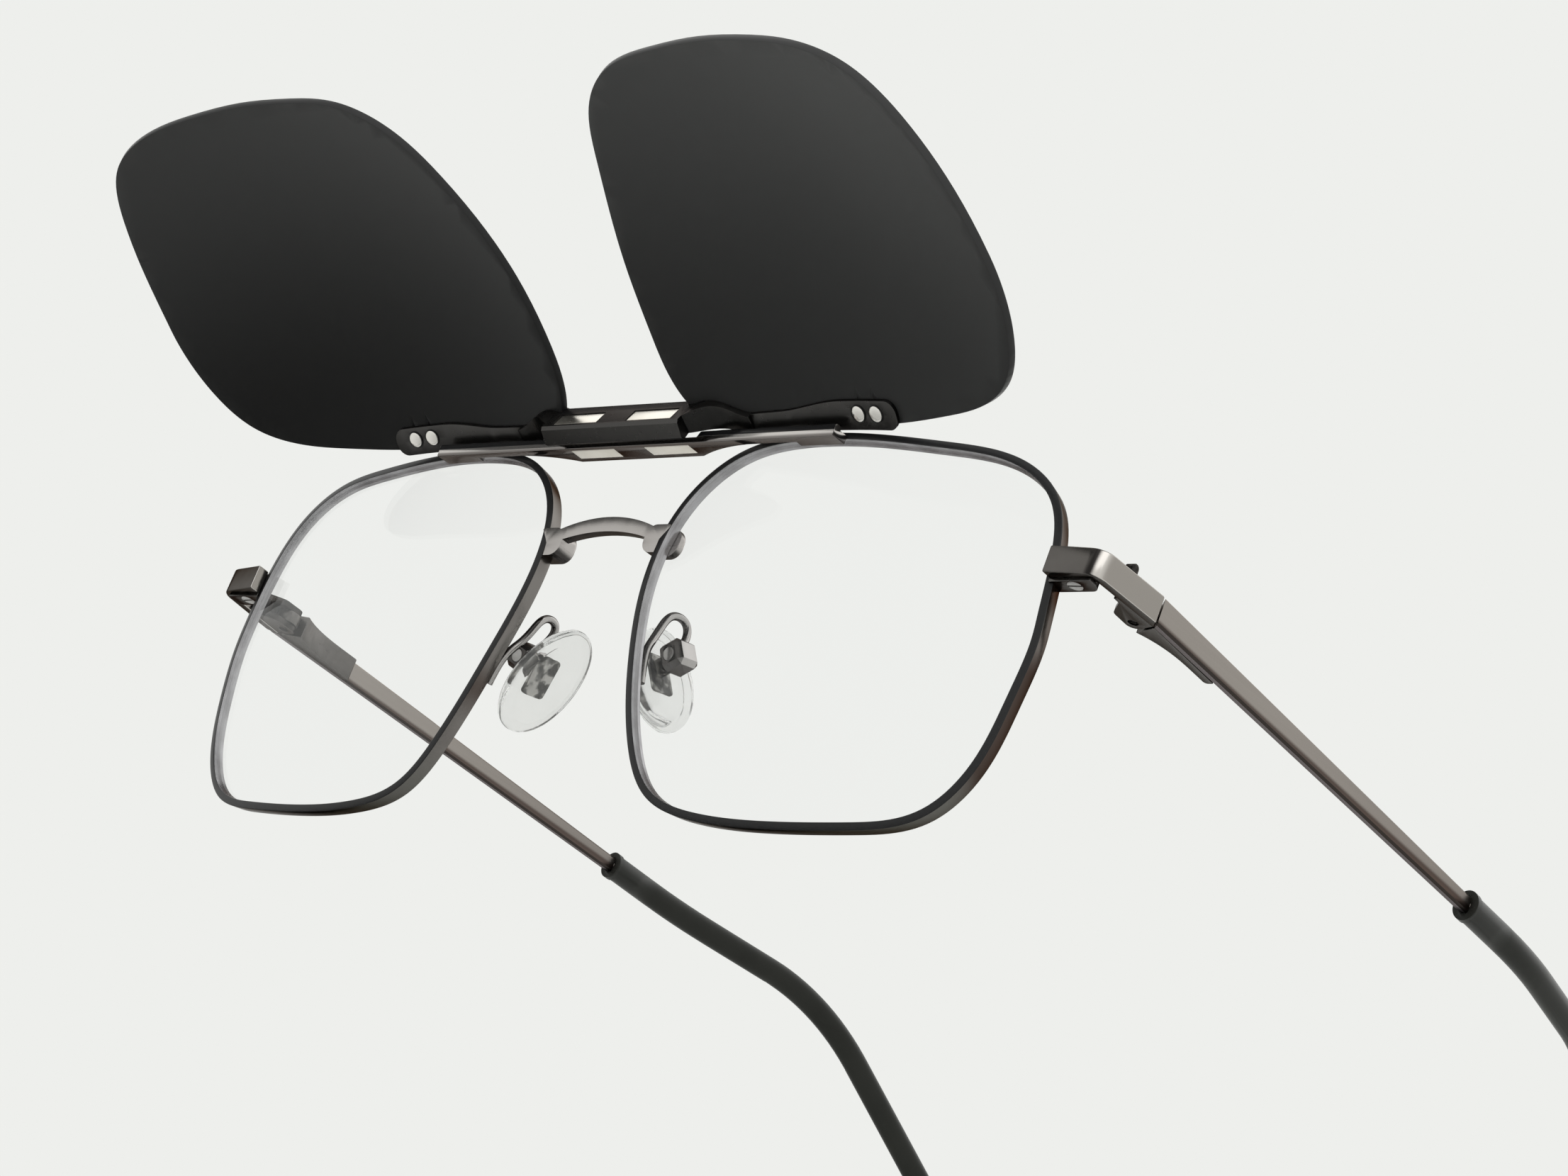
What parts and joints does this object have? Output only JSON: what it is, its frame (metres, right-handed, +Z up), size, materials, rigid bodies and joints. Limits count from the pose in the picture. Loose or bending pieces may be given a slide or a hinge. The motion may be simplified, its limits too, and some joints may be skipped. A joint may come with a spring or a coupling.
{
  "type": "eyeglass frame with magnetic sun clip",
  "caption": "Thin metal eyeglass frame with spring-hinged temples, nose pads and a magnet seat on its brow bar that holds a tinted clip-on.",
  "frame": {"origin": "middle of the magnet seat, the flat notch on top of the brow bar", "axes": "+X towards the wearer's left, +Y back along the temples, +Z up"},
  "size_m": [0.145, 0.203, 0.0717],
  "materials": {
    "rim_metal": "gloss black face over polished gunmetal sides",
    "clear_lens": "clear, coated",
    "magnet_nickel": "nickel plated",
    "strap_metal": "polished dark gunmetal",
    "screw_steel": "turned",
    "hinge_steel": "satin",
    "temple_metal": "satin warm grey",
    "tip_plastic": "dark olive grey, soft gloss",
    "pad_silicone": "clear silicone",
    "pad_metal": "polished dark gunmetal",
    "bar_metal": "polished",
    "bridge_metal": "satin warm grey with dark bevels",
    "clip_metal": "dark gunmetal lacquer",
    "tinted_lens": "dark grey, graduated",
    "rivet_metal": "polished"
  },
  "bodies": {
    "frame": {"brow_bar": "bar_metal", "magnet_plate": "bar_metal", "nose_bridge": "bridge_metal", "rim_left": "rim_metal", "rim_right": "rim_metal", "lens_left": "clear_lens", "lens_right": "clear_lens", "frame_magnet_left": "magnet_nickel", "frame_magnet_right": "magnet_nickel", "end_piece_left": "strap_metal", "end_piece_right": "strap_metal", "rim_lock_lower_left": "strap_metal", "rim_lock_lower_right": "strap_metal", "rim_lock_upper_left": "strap_metal", "rim_lock_upper_right": "strap_metal", "rim_lock_screw_left": "screw_steel", "rim_lock_screw_right": "screw_steel", "hinge_leaf_left": "hinge_steel", "hinge_leaf_right": "hinge_steel", "hinge_screw_left": "screw_steel", "hinge_screw_right": "screw_steel", "pad_box_left": "pad_metal", "pad_box_right": "pad_metal", "pad_screw_left": "screw_steel", "pad_screw_right": "screw_steel", "pad_arm_left": "pad_metal", "pad_arm_right": "pad_metal"},
    "clip": {"clip_bridge": "clip_metal", "clip_lens_left": "tinted_lens", "clip_lens_right": "tinted_lens", "clip_magnet_left": "magnet_nickel", "clip_magnet_right": "magnet_nickel", "clip_rivets_left": "rivet_metal", "clip_rivets_right": "rivet_metal"},
    "slider_left": {"hinge_slider_left": "hinge_steel"},
    "arm_left": {"spring_housing_left": "hinge_steel", "hinge_spring_left": "screw_steel", "temple_left": "temple_metal", "temple_tip_left": "tip_plastic"},
    "pad_left": {"nose_pad_left": "pad_silicone", "pad_insert_left": "pad_metal"},
    "slider_right": {"hinge_slider_right": "hinge_steel"},
    "arm_right": {"spring_housing_right": "hinge_steel", "hinge_spring_right": "screw_steel", "temple_right": "temple_metal", "temple_tip_right": "tip_plastic"},
    "pad_right": {"nose_pad_right": "pad_silicone", "pad_insert_right": "pad_metal"}
  },
  "joints": [
    {"name": "temple_fold_left", "type": "hinge", "parent": "frame", "child": "slider_left", "pos_m": [0.0692, 0.0142, -0.01497], "axis": [0, 0.0549, 0.9985], "range_deg": [0, 86]},
    {"name": "temple_fold_right", "type": "hinge", "parent": "frame", "child": "slider_right", "pos_m": [-0.0692, 0.0142, -0.01497], "axis": [0, -0.0549, -0.9985], "range_deg": [0, 79]},
    {"name": "spring_slide_left", "type": "slide", "parent": "slider_left", "child": "arm_left", "axis": [-0.0131, 0.9984, -0.055], "range_m": [0, 0.001], "stiffness_N_per_m": 2000, "springref_m": -0.0005},
    {"name": "spring_slide_right", "type": "slide", "parent": "slider_right", "child": "arm_right", "axis": [0.0131, 0.9984, -0.055], "range_m": [0, 0.001], "stiffness_N_per_m": 2000, "springref_m": -0.0005},
    {"name": "pad_rock_left", "type": "hinge", "parent": "frame", "child": "pad_left", "pos_m": [0.01265, 0.00601, -0.02469], "axis": [0.0143, 0.9817, 0.1898], "range_deg": [-6, 6]},
    {"name": "pad_rock_right", "type": "hinge", "parent": "frame", "child": "pad_right", "pos_m": [-0.01265, 0.00601, -0.02469], "axis": [0.0143, -0.9817, -0.1898], "range_deg": [-6, 6]},
    {"name": "clip_flip", "type": "hinge", "parent": "frame", "child": "clip", "pos_m": [0, -0.00372, 0.0009], "axis": [1, 0, 0], "range_deg": [0, 118]}
  ]
}
